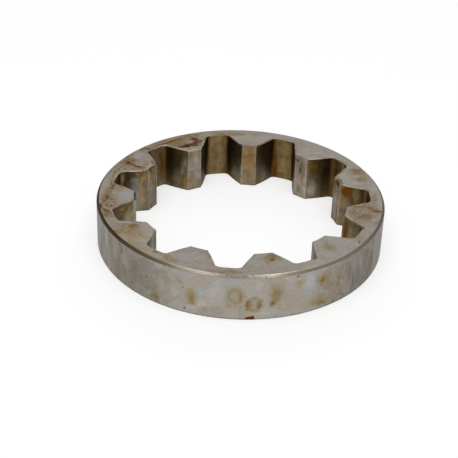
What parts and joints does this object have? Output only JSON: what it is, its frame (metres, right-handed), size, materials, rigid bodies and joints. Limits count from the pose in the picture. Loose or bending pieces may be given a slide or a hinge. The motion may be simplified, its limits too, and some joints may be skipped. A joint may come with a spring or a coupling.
{
  "type": "oil pump ring gear",
  "caption": "Flat steel ring gear with broad internal teeth, a smooth round outside and ground faces: the outer gear of an oil pump.",
  "frame": {"origin": "centre of the lower face, on the axis of the ring", "axes": "+Z along the axis towards the upper face, +Y through the middle of one tooth"},
  "size_m": [0.11, 0.11, 0.0185],
  "materials": {
    "ground_steel": "ground, with oil stains and light rust"
  },
  "bodies": {
    "root": {"ring_gear": "ground_steel"}
  },
  "joints": []
}
